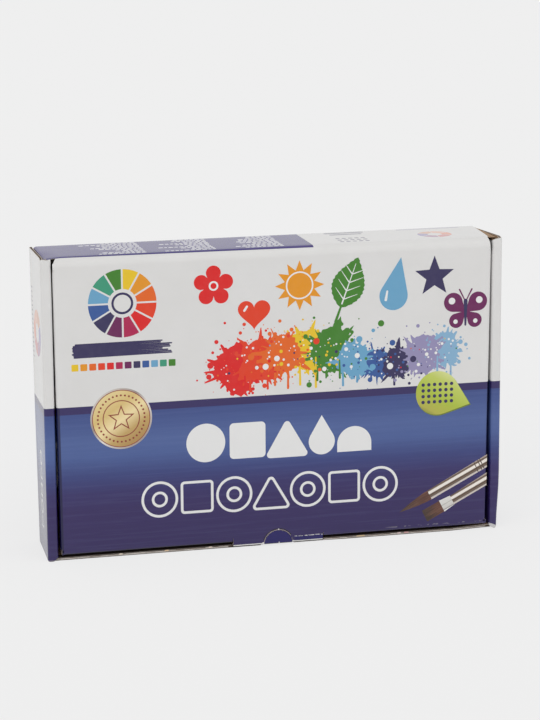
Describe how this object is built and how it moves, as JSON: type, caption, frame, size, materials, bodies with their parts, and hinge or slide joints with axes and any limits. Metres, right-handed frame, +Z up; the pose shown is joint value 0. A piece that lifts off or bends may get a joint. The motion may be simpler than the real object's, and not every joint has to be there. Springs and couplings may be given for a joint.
{
  "type": "gouache paint box",
  "caption": "Flat hinged-lid carton of printed corrugated board with a tuck flap, side ears and a thumb tab, packed with round lidded jars of gouache paint.",
  "frame": {"origin": "middle of the face that the box stands on, which is the outer face of its front wall", "axes": "+X along the box's width, +Y from the lid's face to the bottom panel at the rear, +Z up to the back wall, which carries the lid's fold"},
  "size_m": [0.242, 0.0396, 0.157],
  "materials": {
    "printed_board": "white-lined micro-corrugated board with a glossy varnished print",
    "bare_board": "bare brown kraft board",
    "cup_plastic": "frosted clear",
    "cap_plastic": "milky translucent, satin",
    "paint_white": "thick opaque paint, satin while wet",
    "paint_lemon_yellow": "thick opaque paint, satin while wet",
    "paint_yellow": "thick opaque paint, satin while wet",
    "paint_deep_yellow": "thick opaque paint, satin while wet",
    "paint_orange": "thick opaque paint, satin while wet",
    "paint_scarlet": "thick opaque paint, satin while wet",
    "paint_red": "thick opaque paint, satin while wet",
    "paint_carmine": "thick opaque paint, satin while wet",
    "paint_pink": "thick opaque paint, satin while wet",
    "paint_magenta": "thick opaque paint, satin while wet",
    "paint_violet": "thick opaque paint, satin while wet",
    "paint_lilac": "thick opaque paint, satin while wet",
    "paint_dark_blue": "thick opaque paint, satin while wet",
    "paint_blue": "thick opaque paint, satin while wet",
    "paint_sky_blue": "thick opaque paint, satin while wet",
    "paint_turquoise": "thick opaque paint, satin while wet",
    "paint_emerald_green": "thick opaque paint, satin while wet",
    "paint_green": "thick opaque paint, satin while wet",
    "paint_light_green": "thick opaque paint, satin while wet",
    "paint_olive_green": "thick opaque paint, satin while wet",
    "paint_yellow_ochre": "thick opaque paint, satin while wet",
    "paint_red_brown": "thick opaque paint, satin while wet",
    "paint_brown": "thick opaque paint, satin while wet",
    "paint_black": "thick opaque paint, satin while wet"
  },
  "bodies": {
    "root": {"bottom_panel": "printed_board", "back_wall": "printed_board", "front_wall": "printed_board", "left_outer_wall": "printed_board", "left_rolled_rim": "printed_board", "left_inner_wall": "bare_board", "left_front_corner_flap": "bare_board", "left_back_corner_flap": "bare_board", "right_outer_wall": "printed_board", "right_rolled_rim": "printed_board", "right_inner_wall": "bare_board", "right_front_corner_flap": "bare_board", "right_back_corner_flap": "bare_board", "jar_cups_column_1": "cup_plastic", "jar_cups_column_2": "cup_plastic", "jar_cups_column_3": "cup_plastic", "jar_cups_column_4": "cup_plastic", "jar_cups_column_5": "cup_plastic", "jar_cups_column_6": "cup_plastic", "jar_caps_column_1": "cap_plastic", "jar_caps_column_2": "cap_plastic", "jar_caps_column_3": "cap_plastic", "jar_caps_column_4": "cap_plastic", "jar_caps_column_5": "cap_plastic", "jar_caps_column_6": "cap_plastic", "paint_white": "paint_white", "paint_lemon_yellow": "paint_lemon_yellow", "paint_yellow": "paint_yellow", "paint_deep_yellow": "paint_deep_yellow", "paint_orange": "paint_orange", "paint_scarlet": "paint_scarlet", "paint_red": "paint_red", "paint_carmine": "paint_carmine", "paint_pink": "paint_pink", "paint_magenta": "paint_magenta", "paint_violet": "paint_violet", "paint_lilac": "paint_lilac", "paint_dark_blue": "paint_dark_blue", "paint_blue": "paint_blue", "paint_sky_blue": "paint_sky_blue", "paint_turquoise": "paint_turquoise", "paint_emerald_green": "paint_emerald_green", "paint_green": "paint_green", "paint_light_green": "paint_light_green", "paint_olive_green": "paint_olive_green", "paint_yellow_ochre": "paint_yellow_ochre", "paint_red_brown": "paint_red_brown", "paint_brown": "paint_brown", "paint_black": "paint_black"},
    "lid": {"lid_panel": "printed_board"},
    "tuck_flap": {"lid_tuck_flap": "printed_board"},
    "left_ear": {"left_lid_ear": "printed_board"},
    "right_ear": {"right_lid_ear": "printed_board"},
    "thumb_tab": {"thumb_tab": "printed_board"}
  },
  "joints": [
    {"name": "lid_hinge", "type": "hinge", "parent": "root", "child": "lid", "pos_m": [0, -0.01975, 0.15399], "axis": [-1, 0, 0], "range_deg": [0, 180]},
    {"name": "tuck_flap_fold", "type": "hinge", "parent": "lid", "child": "tuck_flap", "pos_m": [0, -0.01825, 0.0029], "axis": [-1, 0, 0], "range_deg": [0, 30.01]},
    {"name": "left_ear_fold", "type": "hinge", "parent": "lid", "child": "left_ear", "pos_m": [-0.11502, -0.01825, 0.0785], "axis": [0, 0, 1], "range_deg": [0, 30.01]},
    {"name": "right_ear_fold", "type": "hinge", "parent": "lid", "child": "right_ear", "pos_m": [0.11502, -0.01825, 0.0785], "axis": [0, 0, -1], "range_deg": [0, 30.01]},
    {"name": "thumb_tab_push", "type": "hinge", "parent": "lid", "child": "thumb_tab", "pos_m": [0, -0.01825, 0.00785], "axis": [1, 0, 0], "range_deg": [0, 30]}
  ],
  "couplings": [
    {"joint": "tuck_flap_fold", "follows": "lid_hinge", "ratio": 0.16667},
    {"joint": "left_ear_fold", "follows": "lid_hinge", "ratio": 0.16667},
    {"joint": "right_ear_fold", "follows": "lid_hinge", "ratio": 0.16667}
  ]
}
